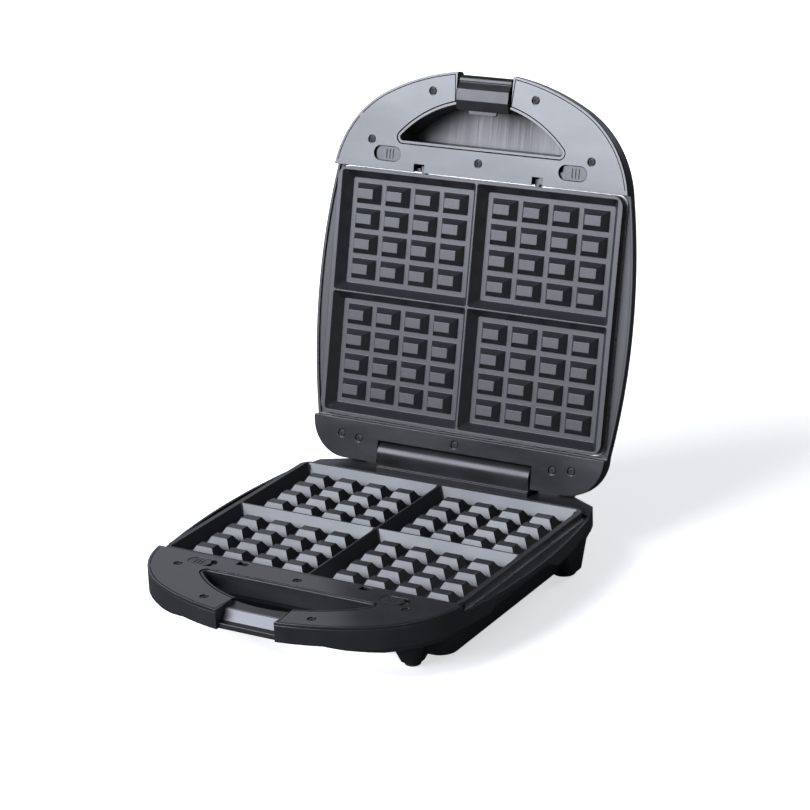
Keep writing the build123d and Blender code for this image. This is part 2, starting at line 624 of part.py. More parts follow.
# Screws of the lower front panel
shank_l = panel_t - screw_seat_t + screw_l - screw_tip_gap
with BuildPart() as base_screws:
    with Locations(*[BASE * Location((x, y, panel_proud - screw_seat_t)) for x, y in front_screws]):
        Cylinder(screw_head_r, screw_head_t, align=(Align.CENTER, Align.CENTER, Align.MIN))
        Cylinder(screw_r, shank_l, align=(Align.CENTER, Align.CENTER, Align.MAX))

base_screws.part.label = "base_screws"
export_step(base_screws.part, "parts/base_screws.step")

# Two forms of slider, drawn for the right-hand side of the lower half: a plate under the panel, a pill
# button through the slot, and a finger that slides over the plate's lug
sliders = []
for form in (-1, 1):
    button_x = slot_x + form * button_shift
    finger_x = lug_x + form * finger_shift
    arm_inner, arm_outer = finger_x - finger_w / 2, button_x - 10
    with BuildPart() as slider:
        with BuildSketch(Plane.XY.offset(-slider_depth - slide_t)):
            with Locations((button_x + 1.0, slot_y - 0.1)):
                RectangleRounded(26.0, 11.9, 1.5)
            with Locations(((arm_inner + arm_outer) / 2, slot_y + 2.9)):
                Rectangle(arm_outer - arm_inner, 5.6)
            with Locations((finger_x, slot_y + 7.3)):
                Rectangle(finger_w, 8.4)
        extrude(amount=slide_t)
        with BuildSketch(Plane.XY.offset(-slider_depth)):
            with Locations((button_x, slot_y)):
                SlotOverall(button_l, button_w)
        extrude(amount=slider_depth + panel_proud - button_low)
        with BuildSketch(Plane.XY.offset(panel_proud - button_low)):
            with Locations((button_x, slot_y)):
                with GridLocations(grip_pitch, grip_pitch, 3, 1):
                    Rectangle(grip_w, grip_l)
        extrude(amount=-grip_depth, mode=Mode.SUBTRACT)
    sliders.append(slider.part)
near_slider, far_slider = sliders

with BuildPart(BASE) as base_slider_right:
    add(near_slider)

base_slider_right.part.label = "base_slider_right"
export_step(base_slider_right.part, "parts/base_slider_right.step")

with BuildPart(BASE) as base_slider_left:
    add(mirror(far_slider, about=Plane.YZ, mode=Mode.PRIVATE))

base_slider_left.part.label = "base_slider_left"
export_step(base_slider_left.part, "parts/base_slider_left.step")

# Hinge block on the rear ledge: a plinth and the round barrel that the lid turns about
with BuildPart() as hinge_block:
    with BuildSketch(BASE_SIDE.offset(-barrel_x)):
        with Locations((hinge_y, hinge_z)):
            Circle(barrel_r)
        with Locations((hinge_y, (hinge_z - rear_ledge) / 2)):
            Rectangle(2 * barrel_r, hinge_z + rear_ledge)
        with Locations((hinge_y - 0.9, -rear_ledge)):
            Rectangle(2 * barrel_r + 2.6, 3.6, align=(Align.CENTER, Align.MIN))
        with Locations((hinge_y, hinge_z)):
            Circle(rod_r, mode=Mode.SUBTRACT)
    extrude(amount=2 * barrel_x)

hinge_block.part.label = "hinge_block"
export_step(hinge_block.part, "parts/hinge_block.step")

with BuildPart() as hinge_rod:
    with BuildSketch(BASE_SIDE.offset(-rod_x)):
        with Locations((hinge_y, hinge_z)):
            Circle(rod_r)
    extrude(amount=2 * rod_x)

hinge_rod.part.label = "hinge_rod"
export_step(hinge_rod.part, "parts/hinge_rod.step")

# Two ribs on the ledge that the open lid leans on
with BuildPart() as lid_stops:
    with Locations(*[BASE * Location((x, rear_y - 2.0, -rear_ledge)) for x in (1 - rod_x, rod_x - 1)]):
        Box(14, 3.0, 1.5, align=(Align.CENTER, Align.CENTER, Align.MIN))

lid_stops.part.label = "lid_stops"
export_step(lid_stops.part, "parts/lid_stops.step")

# Lid housing
with BuildPart() as lid_shell:
    with BuildSketch(LID.offset(panel_back)):
        add(outline.sketch)
    extrude(amount=lid_top - panel_back)
    fillet(lid_shell.edges().group_by(Axis(LID.origin, LID.z_dir))[-1], radius=lid_top_r)
    # the handle thins towards its front edge
    with BuildSketch(LID_SIDE.offset(-side_x)):
        with BuildLine():
            Polyline((front_y - 20, halves_gap + handle_edge), (front_y - 0.5, halves_gap + handle_edge),
                     (handle_slope_y, halves_gap + lid_top), (handle_slope_y, lid_top + 30),
                     (front_y - 20, lid_top + 30), close=True)
        make_face()
    extrude(amount=2 * side_x, mode=Mode.SUBTRACT)
    # side and rear levels facing the plate
    with BuildSketch(LID.offset(side_band)):
        with Locations((0, (seam_front_y + seam_rear_y) / 2)):
            Rectangle(500, seam_rear_y - seam_front_y)
    extrude(amount=-20, mode=Mode.SUBTRACT)
    with BuildSketch(LID.offset(side_ledge)):
        add(side_step.sketch)
    extrude(amount=-20, mode=Mode.SUBTRACT)
    # bay for the tray, plate and wiring
    with BuildSketch(LID.offset(flange_depth)):
        RectangleRounded(tray_flange_l + 2 * tray_clear, tray_flange_w + 2 * tray_clear, 10)
    extrude(amount=-20, mode=Mode.SUBTRACT)
    with BuildSketch(LID.offset(lid_tray_depth + tray_clear)):
        RectangleRounded(tray_bowl_l + 2 * tray_clear, tray_bowl_w + 2 * tray_clear, 10)
    extrude(amount=-30, mode=Mode.SUBTRACT)
    with BuildSketch(LID.offset(lid_top - cover_t - lid_roof)):
        RectangleRounded(lid_well_l, lid_well_w, well_r)
    extrude(amount=-30, mode=Mode.SUBTRACT)
    # hollow of the handle, with bosses and shelves
    with BuildSketch(LID.offset(lid_handle_bay_depth)):
        add(lid_handle_bay.sketch)
        with Locations(front_screws):
            Circle(boss_r, mode=Mode.SUBTRACT)
        add(slider_shelf.sketch, mode=Mode.SUBTRACT)
    extrude(amount=-30, mode=Mode.SUBTRACT)
    with BuildSketch(LID.offset(slider_depth + slide_t + slide_clear)):
        add(slider_shelf.sketch)
        with Locations((-lug_x, plate_front - 4.9), (lug_x, plate_front - 4.9)):
            Rectangle(lug_pocket_w, 7.2)
    extrude(amount=-20, mode=Mode.SUBTRACT)
    with BuildSketch(LID.offset(lug_bottom + 0.4)):
        with Locations((-lug_x, plate_front - 4.1), (lug_x, plate_front - 4.1)):
            Rectangle(lug_w + 1.0, 6.4)
    extrude(amount=-20, mode=Mode.SUBTRACT)
    # finger opening with its tube lip
    with BuildSketch(LID.offset(panel_back)):
        add(d_outer.sketch)
    extrude(amount=-(panel_back + panel_proud - 0.4))
    with BuildSketch(LID.offset(-10)):
        add(d_inner.sketch)
    extrude(amount=80, mode=Mode.SUBTRACT)
    # pocket that the latch hangs in
    with BuildSketch(LID.offset(pocket_depth)):
        with Locations((0, notch_rear_y - 16)):
            Rectangle(2 * notch_x, 52)
    extrude(amount=-40, mode=Mode.SUBTRACT)
    # seat for the steel cover
    with BuildSketch(LID.offset(lid_top - cover_t)):
        add(cover_shapes[0])
    extrude(amount=20, mode=Mode.SUBTRACT)
    # gap between the ears, and the bores in them
    with BuildSketch(LID.offset(-20)):
        with Locations((0, hinge_y - barrel_r - barrel_gap)):
            Rectangle(2 * barrel_x + 2.0, 60, align=(Align.CENTER, Align.MIN))
    extrude(amount=100, mode=Mode.SUBTRACT)
    with BuildSketch(LID_SIDE.offset(-rod_x - 0.5)):
        with Locations((hinge_y, hinge_z)):
            Circle(rod_r + rod_clear)
    extrude(amount=2 * rod_x + 1.0, mode=Mode.SUBTRACT)
    with Locations(*[LID * Location((x, y, panel_back), (180, 0, 0)) for x, y in lid_screw_points]):
        Hole(screw_r, depth=screw_l)
    with BuildSketch(LID_SIDE.offset(-pin_x)):
        with Locations((latch_y, latch_z)):
            Circle(latch_pin_r)
    extrude(amount=2 * pin_x, mode=Mode.SUBTRACT)

lid_shell.part.label = "lid_shell"
export_step(lid_shell.part, "parts/lid_shell.step")

# Brushed steel cover let into the lid, which also backs the finger opening
with BuildPart() as lid_cover:
    with BuildSketch(LID.offset(lid_top - cover_t)):
        add(cover_shapes[1])
        with Locations((-lamp_x, lamp_y), (lamp_x, lamp_y)):
            Circle(lamp_r + cover_clear, mode=Mode.SUBTRACT)
    extrude(amount=cover_t)

lid_cover.part.label = "lid_cover"
export_step(lid_cover.part, "parts/lid_cover.step")

# Two indicator lenses standing through the cover
for lens_name, lens_x in (("lamp_power", -lamp_x), ("lamp_ready", lamp_x)):
    with BuildPart() as lens:
        with BuildSketch(LID.offset(lid_top - cover_t)):
            with Locations((lens_x, lamp_y)):
                Circle(lamp_r)
        extrude(amount=cover_t + lamp_h)
        chamfer(lens.edges().group_by(Axis(LID.origin, LID.z_dir))[-1], 0.8)
    lens.part.label = lens_name
    export_step(lens.part, "parts/" + lens_name + ".step")

# Front panel of the lid's handle
with BuildPart() as lid_panel:
    with BuildSketch(LID.offset(panel_back)):
        add(front_panel_face.sketch)
    extrude(amount=-panel_t)
    with Locations(*[LID * Location((x, y, -panel_proud), (180, 0, 0)) for x, y in front_screws]):
        CounterBoreHole(screw_r + screw_clear, screw_seat_r, screw_seat_t)

lid_panel.part.label = "lid_panel"
export_step(lid_panel.part, "parts/lid_panel.step")

# Rear panel that closes the two hinge ears
with BuildPart() as lid_rear_panel:
    with BuildSketch(LID.offset(panel_back)):
        add(outline.sketch)
        with Locations((0, seam_rear_y)):
            Rectangle(500, 500, align=(Align.CENTER, Align.MAX), mode=Mode.SUBTRACT)
        with Locations((0, hinge_y - barrel_r - barrel_gap)):
            Rectangle(2 * barrel_x + 2.0, 60, align=(Align.CENTER, Align.MIN), mode=Mode.SUBTRACT)
    extrude(amount=-panel_t)
    with Locations(*[LID * Location((x, y, -panel_proud), (180, 0, 0)) for x, y in rear_screws]):
        CounterBoreHole(screw_r + screw_clear, screw_seat_r, screw_seat_t)

lid_rear_panel.part.label = "lid_rear_panel"
export_step(lid_rear_panel.part, "parts/lid_rear_panel.step")

with BuildPart() as lid_screws:
    with Locations(*[LID * Location((x, y, screw_seat_t - panel_proud)) for x, y in lid_screw_points]):
        Cylinder(screw_head_r, screw_head_t, align=(Align.CENTER, Align.CENTER, Align.MAX))
        Cylinder(screw_r, shank_l, align=(Align.CENTER, Align.CENTER, Align.MIN))

lid_screws.part.label = "lid_screws"
export_step(lid_screws.part, "parts/lid_screws.step")

# Stamped tray behind the upper plate
with BuildPart() as lid_tray:
    with BuildSketch(LID.offset(skirt_h)):
        RectangleRounded(tray_flange_l, tray_flange_w, tray_r)
    extrude(amount=tray_t)
    with BuildSketch(LID.offset(skirt_h)):
        RectangleRounded(tray_bowl_l, tray_bowl_w, tray_r)
    extrude(amount=lid_tray_depth - skirt_h)
    with BuildSketch(LID.offset(lid_tray_depth - tray_t)):
        RectangleRounded(tray_bowl_l - 2 * tray_t, tray_bowl_w - 2 * tray_t, tray_r - tray_t)
    extrude(amount=-40, mode=Mode.SUBTRACT)
    with Locations(*[LID * Location((x, terminal_leg_y, lid_tray_depth)) for x in terminal_legs]):
        Cylinder(terminal_hole_r, 6, mode=Mode.SUBTRACT)

lid_tray.part.label = "lid_tray"
export_step(lid_tray.part, "parts/lid_tray.step")

# The upper plate is the lower one turned over: depth runs the other way, lugs stay at the front
with BuildPart(LID) as lid_plate:
    add(mirror(plate.part, about=Plane.XY, mode=Mode.PRIVATE))

lid_plate.part.label = "lid_plate"
export_step(lid_plate.part, "parts/lid_plate.step")

with BuildPart() as lid_heater:
    with BuildLine(LID.offset(heater_depth)) as lid_heater_path:
        FilletPolyline(*heater_loop, radius=heater_bend)
    with BuildSketch(Plane(lid_heater_path.line @ 0, z_dir=lid_heater_path.line % 0)):
        Circle(heater_r)
    sweep(path=lid_heater_path.line)

lid_heater.part.label = "lid_heater"
export_step(lid_heater.part, "parts/lid_heater.step")

with BuildPart() as lid_terminals:
    with Locations(*[LID * Location((x, terminal_leg_y, heater_depth)) for x in terminal_legs]):
        Cylinder(terminal_leg_r, lid_tray_depth - heater_depth + 3.5,
                 align=(Align.CENTER, Align.CENTER, Align.MIN))
    with Locations(*[LID * Location((x, heater_y - heater_r, heater_depth)) for x in terminal_legs]):
        Box(terminal_bead, bead_l, bead_h, align=(Align.CENTER, Align.MIN, Align.CENTER))

lid_terminals.part.label = "lid_terminals"
export_step(lid_terminals.part, "parts/lid_terminals.step")

with BuildPart() as lid_saddles:
    with Locations(*[LID * Location((x, y, heater_depth + heater_r)) for x, y in saddle_points]):
        Box(saddle_w, saddle_w, lid_tray_depth - tray_t - heater_depth - heater_r,
            align=(Align.CENTER, Align.CENTER, Align.MIN))

lid_saddles.part.label = "lid_saddles"
export_step(lid_saddles.part, "parts/lid_saddles.step")

# Thermal cut-out clipped behind the upper tray
with BuildPart() as thermal_cutout:
    with Locations(LID * Location((0, 0, lid_tray_depth))):
        Cylinder(7.0, 4.6, align=(Align.CENTER, Align.CENTER, Align.MIN))
        Box(30, 8, 1.0, align=(Align.CENTER, Align.CENTER, Align.MIN))

thermal_cutout.part.label = "thermal_cutout"
export_step(thermal_cutout.part, "parts/thermal_cutout.step")

with BuildPart(LID) as lid_slider_right:
    add(mirror(far_slider, about=Plane.XY, mode=Mode.PRIVATE))

lid_slider_right.part.label = "lid_slider_right"
export_step(lid_slider_right.part, "parts/lid_slider_right.step")

with BuildPart(LID) as lid_slider_left:
    add(mirror(mirror(near_slider, about=Plane.XY, mode=Mode.PRIVATE), about=Plane.YZ, mode=Mode.PRIVATE))

lid_slider_left.part.label = "lid_slider_left"
export_step(lid_slider_left.part, "parts/lid_slider_left.step")

# Latch, hanging against its stop: a slanted face below the pin, a flat bar, a lip turned in to the hook,
# and a wide thumb tab
with BuildPart() as latch:
    with BuildSketch(LID_SIDE.offset(-latch_x)):
        with BuildLine():
            Polyline((latch_y - 3.9, 5.2), (latch_y + 7.0, -1.3), (hook_y - 5.2, -1.7), (hook_y + 2.4, 1.0),
                     (hook_y + 3.0, 5.6), (hook_y + 0.1, 5.6), (hook_y, 1.9), (latch_y + 7.9, 2.1),
                     (latch_y + 2.9, 6.0), close=True)
        make_face()
        with Locations((latch_y, latch_z)):
            Circle(latch_knuckle_r)
            Circle(latch_pin_r + rod_clear, mode=Mode.SUBTRACT)
    extrude(amount=2 * latch_x)
    with BuildSketch(SHUT.offset(1.2)):
        with Locations((0, (hook_y + tab_tip_y) / 2)):
            RectangleRounded(2 * tab_x, tab_tip_y - hook_y, 2.4)
    extrude(amount=2.6)

latch.part.label = "latch"
export_step(latch.part, "parts/latch.step")

with BuildPart() as latch_pin:
    with BuildSketch(LID_SIDE.offset(-pin_x)):
        with Locations((latch_y, latch_z)):
            Circle(latch_pin_r)
    extrude(amount=2 * pin_x)

latch_pin.part.label = "latch_pin"
export_step(latch_pin.part, "parts/latch_pin.step")
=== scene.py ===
import bpy
import math
from mathutils import Matrix, Vector


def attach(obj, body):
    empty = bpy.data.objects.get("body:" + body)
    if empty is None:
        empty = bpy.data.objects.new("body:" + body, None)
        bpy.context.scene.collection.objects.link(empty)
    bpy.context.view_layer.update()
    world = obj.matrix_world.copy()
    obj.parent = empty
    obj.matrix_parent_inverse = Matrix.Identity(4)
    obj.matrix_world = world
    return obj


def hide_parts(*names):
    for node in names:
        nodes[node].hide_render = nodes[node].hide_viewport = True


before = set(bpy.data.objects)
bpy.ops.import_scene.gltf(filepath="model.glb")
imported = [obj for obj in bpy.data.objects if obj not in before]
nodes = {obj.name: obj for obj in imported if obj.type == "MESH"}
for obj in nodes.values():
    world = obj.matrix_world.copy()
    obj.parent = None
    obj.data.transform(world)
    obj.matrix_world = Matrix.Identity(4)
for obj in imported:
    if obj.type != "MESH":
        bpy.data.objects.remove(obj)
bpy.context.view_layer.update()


def put(material, *names):
    """Give CAD nodes a material."""
    for name in names:
        part = nodes[name]
        if not part.material_slots:
            part.data.materials.append(material)
        for item in part.material_slots:
            item.link = "OBJECT"
            item.material = material


def start(name, color, roughness, metallic=0.0, specular=0.5):
    """New material, with its tree, its shader and its coordinates."""
    mat = bpy.data.materials.new(name)
    mat.use_nodes = True
    tree = mat.node_tree
    shader = tree.nodes["Principled BSDF"]
    shader.inputs["Base Color"].default_value = (color[0], color[1], color[2], 1.0)
    shader.inputs["Roughness"].default_value = roughness
    shader.inputs["Metallic"].default_value = metallic
    shader.inputs["Specular IOR Level"].default_value = specular
    coord = tree.nodes.new("ShaderNodeTexCoord")
    return mat, tree, shader, coord


def noise(tree, coord, scale, detail=3.0, stretch=None, turn=0.0):
    """Noise in the piece's own place, drawn out along an axis by stretch and turned about x."""
    node = tree.nodes.new("ShaderNodeTexNoise")
    node.inputs["Scale"].default_value = scale
    node.inputs["Detail"].default_value = detail
    if stretch:
        place = tree.nodes.new("ShaderNodeMapping")
        place.inputs["Rotation"].default_value = (turn, 0.0, 0.0)
        place.inputs["Scale"].default_value = stretch
        tree.links.new(coord.outputs["Object"], place.inputs["Vector"])
        tree.links.new(place.outputs["Vector"], node.inputs["Vector"])
    else:
        tree.links.new(coord.outputs["Object"], node.inputs["Vector"])
    return node


def spread(tree, source, low, high):
    """The middle range of a noise, spread from low to high."""
    node = tree.nodes.new("ShaderNodeMapRange")
    node.inputs["From Min"].default_value = 0.3
    node.inputs["From Max"].default_value = 0.7
    node.inputs["To Min"].default_value = low
    node.inputs["To Max"].default_value = high
    tree.links.new(source.outputs["Fac"], node.inputs["Value"])
    return node


def tint(tree, source, dark, light):
    """Colour between dark and light."""
    node = tree.nodes.new("ShaderNodeMix")
    node.data_type = "RGBA"
    node.inputs["A"].default_value = (dark[0], dark[1], dark[2], 1.0)
    node.inputs["B"].default_value = (light[0], light[1], light[2], 1.0)
    tree.links.new(source.outputs["Result"], node.inputs["Factor"])
    return node


def relief(tree, shader, source, strength, depth, edge):
    """Bumps from a noise, over edges that are rounded by the radius edge."""
    bump = tree.nodes.new("ShaderNodeBump")
    bump.inputs["Strength"].default_value = strength
    bump.inputs["Distance"].default_value = depth
    tree.links.new(source.outputs["Fac"], bump.inputs["Height"])
    if edge:
        bevel = tree.nodes.new("ShaderNodeBevel")
        bevel.samples = 6
        bevel.inputs["Radius"].default_value = edge
        tree.links.new(bevel.outputs["Normal"], bump.inputs["Normal"])
    tree.links.new(bump.outputs["Normal"], shader.inputs["Normal"])


def build(name, points, faces, material, body, slot):
    """New piece in metres, which rides on a body; its slot is not used."""
    mesh = bpy.data.meshes.new(name)
    mesh.from_pydata(points, [], faces)
    mesh.materials.append(material)
    piece = bpy.data.objects.new(name, mesh)
    bpy.context.scene.collection.objects.link(piece)
    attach(piece, body)
    return piece


def rim(node, out):
    """Outer edge of the face of a CAD node that looks along out, as one closed ring of points."""
    mesh = nodes[node].data
    flat = [face for face in mesh.polygons if face.normal.dot(out) > 0.999]
    top = max(face.center.dot(out) for face in flat)
    sides = {}
    for face in flat:
        if face.center.dot(out) < top - 0.0002:
            continue
        ring = [tuple(round(c, 6) for c in mesh.vertices[v].co) for v in face.vertices]
        for one, two in zip(ring, ring[1:] + ring[:1]):
            if (two, one) in sides:
                del sides[(two, one)]
            else:
                sides[(one, two)] = True
    after = {one: two for one, two in sides}
    rings = []
    while after:
        first = next(iter(after))
        ring = [first]
        step = after.pop(first)
        while step != first and step in after:
            ring.append(step)
            step = after.pop(step)
        rings.append([Vector(point) for point in ring])
    return max(rings, key=len)


def ribbon(ring, out, inset, raise_by):
    """Strip along a ring. inset gives its two distances inside the edge at a point, or None for no strip."""
    points, faces, last = [], [], None
    for index, here in enumerate(ring):
        before = (here - ring[index - 1]).normalized()
        ahead = (ring[(index + 1) % len(ring)] - here).normalized()
        inner = out.cross(before) + out.cross(ahead)
        inner /= max(inner.dot(out.cross(ahead)), 0.3)
        gap = inset(here)
        if gap is None:
            last = None
            continue
        points += [here + inner * gap[0] + out * raise_by, here + inner * gap[1] + out * raise_by]
        now = len(points) - 2
        if last is not None:
            faces.append((last, now, now + 1, last + 1))
        last = now
    return points, faces


# Housings: the lower one and the lid's are dark polypropylene mouldings with a fine spark-eroded grain.
# Their edges are softened by a small radius, as the tool leaves them. The lid's stops are part of it.
mat, tree, shader, coord = start("housing_plastic", (0.010, 0.010, 0.011), 0.38, 0.0, 0.57)
grain = noise(tree, coord, 2600.0, 2.0)
cloud = noise(tree, coord, 22.0, 4.0)
tree.links.new(spread(tree, cloud, 0.32, 0.45).outputs["Result"], shader.inputs["Roughness"])
shade = tint(tree, spread(tree, cloud, 0.0, 1.0), (0.008, 0.008, 0.009), (0.014, 0.014, 0.015))
tree.links.new(shade.outputs["Result"], shader.inputs["Base Color"])
relief(tree, shader, grain, 0.12, 0.0001, 0.0012)
housing = mat
put(housing, "base_shell", "lid_shell", "lid_stops")

# Wiring strip: a narrow moulded strip in the housing's plastic, snapped over the slot that the wiring bay
# leaves low in the belly's rear wall. It lies on the wall's slope and stands a little proud of it.
slope = math.radians(27.0)
wall_top = Vector((0.0, 0.11126, 0.036))
down = Vector((0.0, -math.sin(slope), -math.cos(slope)))
proud = Vector((0.0, math.cos(slope), -math.sin(slope)))
strip_side, strip_top, strip_bottom = 0.077, 0.0159, 0.0263
points = []
for inset, off in ((0.0, -0.0002), (0.0, 0.0004), (0.0008, 0.0009)):
    side, top, bottom = strip_side - inset, strip_top + inset, strip_bottom - inset
    for x, along in ((-side, top), (side, top), (side, bottom), (-side, bottom)):
        points.append(wall_top + Vector((x, 0.0, 0.0)) + down * along + proud * off)
faces = [(3, 2, 1, 0), (8, 9, 10, 11)]
for level in (0, 4):
    for step in range(4):
        one, two = level + step, level + (step + 1) % 4
        faces.append((one, two, two + 4, one + 4))
build("wiring_strip", points, faces, housing, "base", "dark_trim")

# Handle panels: smoother moulded plates screwed into both halves, with faint rub marks from wiping.
# They take the brightest reflections of the whole machine.
mat, tree, shader, coord = start("panel_plastic", (0.014, 0.014, 0.015), 0.22, 0.0, 0.63)
rub = noise(tree, coord, 9.0, 5.0, stretch=(1.0, 3.0, 3.0))
fine = noise(tree, coord, 3200.0, 2.0)
tree.links.new(spread(tree, rub, 0.15, 0.27).outputs["Result"], shader.inputs["Roughness"])
shade = tint(tree, spread(tree, rub, 0.0, 1.0), (0.010, 0.010, 0.011), (0.018, 0.018, 0.020))
tree.links.new(shade.outputs["Result"], shader.inputs["Base Color"])
relief(tree, shader, fine, 0.05, 0.0001, 0.0005)
panel = mat
put(panel, "base_panel", "lid_panel", "lid_rear_panel")

# Panel grooves: painted shade, a flat near-black ribbon just inside the edge of each handle panel and round
# its finger opening where a shaded groove would be, and on the lid the glossy lip of the housing that shows
# inside that opening.
mat, tree, shader, coord = start("joint_shadow", (0.004, 0.004, 0.004), 0.8, 0.0, 0.05)
joint_shade_noise = noise(tree, coord, 700.0, 2.0)
shade = tint(tree, spread(tree, joint_shade_noise, 0.0, 1.0), (0.002, 0.002, 0.002), (0.007, 0.007, 0.007))
tree.links.new(shade.outputs["Result"], shader.inputs["Base Color"])
lean = math.radians(13.2)
halves = {
    "base": (Vector((0.0, -0.01674, 0.053)), Vector((0.0, 1.0, 0.0)), Vector((0.0, 0.0, 1.0))),
    "lid": (Vector((0.0, 0.135063, 0.187598)), Vector((0.0, -math.sin(lean), -math.cos(lean))),
            Vector((0.0, -math.cos(lean), math.sin(lean))))}
opening_y, opening_r = -0.064, 0.1031      # middle and radius of the opening's round edge
round_back, round_side = -0.120, 0.082     # where that edge ends
seam_y = -0.1045                           # rear edge of the panel
window_y, window_side = -0.112, 0.125      # reach of the lug windows in that edge
for body, (middle, back, out) in halves.items():
    ring = rim(body + "_panel", out)

    def place(point):
        return point.x, (point - middle).dot(back)

    def on_opening(point):
        x, y = place(point)
        return math.hypot(x, y - opening_y) < opening_r and y < round_back and abs(x) < round_side

    def joint(point):
        x, y = place(point)
        if y > seam_y or (y > window_y and abs(x) < window_side):
            return None
        return (-0.0001, 0.0007) if on_opening(point) else (0.0017, 0.0024)

    def lip(point):
        return (-0.0021, -0.0003) if on_opening(point) else None

    # The joint strip is painted shade: a flat near-black ribbon just proud of the panel, in place of a cut
    # groove.
    build(body + "_panel_joint_shade", *ribbon(ring, out, joint, 0.00004), mat, body, "dark_trim")
    if body == "lid":
        build("lid_opening_lip", *ribbon(ring, out, lip, -0.00034), panel, body, "dark_trim")

# Hinge block and latch: the panels' plastic with a duller face.
# The latch is a single moulding on a steel pin, and the hinge block is set into the lower housing's rear.
mat, tree, shader, coord = start("latch_plastic", (0.013, 0.013, 0.014), 0.30, 0.0, 0.40)
rub = noise(tree, coord, 30.0, 4.0)
fine = noise(tree, coord, 2800.0, 2.0)
tree.links.new(spread(tree, rub, 0.26, 0.38).outputs["Result"], shader.inputs["Roughness"])
shade = tint(tree, spread(tree, rub, 0.0, 1.0), (0.010, 0.010, 0.011), (0.017, 0.017, 0.019))
tree.links.new(shade.outputs["Result"], shader.inputs["Base Color"])
relief(tree, shader, fine, 0.06, 0.0001, 0.0008)
put(mat, "hinge_block", "latch")

# Striker: a lighter satin wedge set in the notch of the lower handle, where the latch slides down.
mat, tree, shader, coord = start("striker_plastic", (0.10, 0.10, 0.11), 0.35)
fine = noise(tree, coord, 1800.0, 2.0)
tree.links.new(spread(tree, fine, 0.30, 0.42).outputs["Result"], shader.inputs["Roughness"])
relief(tree, shader, fine, 0.08, 0.0001, 0.0004)
put(mat, "striker")

# Plates: die-cast aluminium under a charcoal non-stick coat, which is slightly pebbled and semi-gloss.
# The coat pools a little in the corners, so the gloss drifts over each plate.
mat, tree, shader, coord = start("nonstick_coat", (0.019, 0.020, 0.024), 0.40, 0.0, 0.57)
pebble = noise(tree, coord, 1500.0, 3.0)
drift = noise(tree, coord, 14.0, 4.0)
tree.links.new(spread(tree, drift, 0.34, 0.44).outputs["Result"], shader.inputs["Roughness"])
shade = tint(tree, spread(tree, pebble, 0.0, 1.0), (0.012, 0.0125, 0.015), (0.024, 0.025, 0.029))
tree.links.new(shade.outputs["Result"], shader.inputs["Base Color"])
relief(tree, shader, pebble, 0.10, 0.0001, 0.0007)
put(mat, "base_plate", "lid_plate")

# Trays and saddles: thin aluminised sheet, drawn and left bright, with rolling lines along x.
# Each tray hangs by its flange on the ledge of its housing.
mat, tree, shader, coord = start("tray_sheet", (0.50, 0.50, 0.49), 0.35, 1.0)
roll = noise(tree, coord, 60.0, 4.0, stretch=(0.2, 8.0, 8.0))
tree.links.new(spread(tree, roll, 0.25, 0.45).outputs["Result"], shader.inputs["Roughness"])
relief(tree, shader, roll, 0.05, 0.0001, 0.0)
put(mat, "base_tray", "lid_tray", "base_saddles", "lid_saddles")

# Heating elements: sheathed steel rods, bent to a loop, that have turned brown and grey with heat.
# They lie on the saddles behind each plate.
mat, tree, shader, coord = start("element_sheath", (0.22, 0.19, 0.17), 0.5, 1.0)
heat = noise(tree, coord, 40.0, 4.0)
shade = tint(tree, spread(tree, heat, 0.0, 1.0), (0.12, 0.10, 0.09), (0.30, 0.26, 0.24))
tree.links.new(shade.outputs["Result"], shader.inputs["Base Color"])
relief(tree, shader, heat, 0.1, 0.0002, 0.0)
put(mat, "base_heater", "lid_heater")

# Ceramic beads, thermostat and cut-out: cream steatite with a dry, slightly speckled face.
# The beads are pressed on the ends of the elements, and the other two are fixed to the trays.
mat, tree, shader, coord = start("steatite", (0.72, 0.69, 0.60), 0.55)
speck = noise(tree, coord, 900.0, 3.0)
shade = tint(tree, spread(tree, speck, 0.0, 1.0), (0.64, 0.61, 0.53), (0.78, 0.75, 0.67))
tree.links.new(shade.outputs["Result"], shader.inputs["Base Color"])
relief(tree, shader, speck, 0.1, 0.0001, 0.0)
put(mat, "base_terminals", "lid_terminals", "base_thermostat", "thermal_cutout")

# Terminal block: black phenolic moulding on the floor of the base, with a screw hole for each wire.
# Its faces are matt, with a faint brown fleck from the filler.
mat, tree, shader, coord = start("phenolic_black", (0.020, 0.018, 0.017), 0.6)
fleck = noise(tree, coord, 700.0, 4.0)
shade = tint(tree, spread(tree, fleck, 0.0, 1.0), (0.012, 0.011, 0.010), (0.030, 0.026, 0.024))
tree.links.new(shade.outputs["Result"], shader.inputs["Base Color"])
relief(tree, shader, fleck, 0.08, 0.0001, 0.0003)
put(mat, "terminal_block")

# Bush and feet: black moulded rubber, dull, with a dusty bloom.
# The bush is pressed into the rear wall, and the pads are stuck under the four legs.
mat, tree, shader, coord = start("rubber_black", (0.018, 0.018, 0.018), 0.75)
bloom = noise(tree, coord, 120.0, 5.0)
shade = tint(tree, spread(tree, bloom, 0.0, 1.0), (0.012, 0.012, 0.012), (0.032, 0.032, 0.032))
tree.links.new(shade.outputs["Result"], shader.inputs["Base Color"])
relief(tree, shader, bloom, 0.1, 0.0001, 0.0004)
put(mat, "cord_bush", "foot_pads")

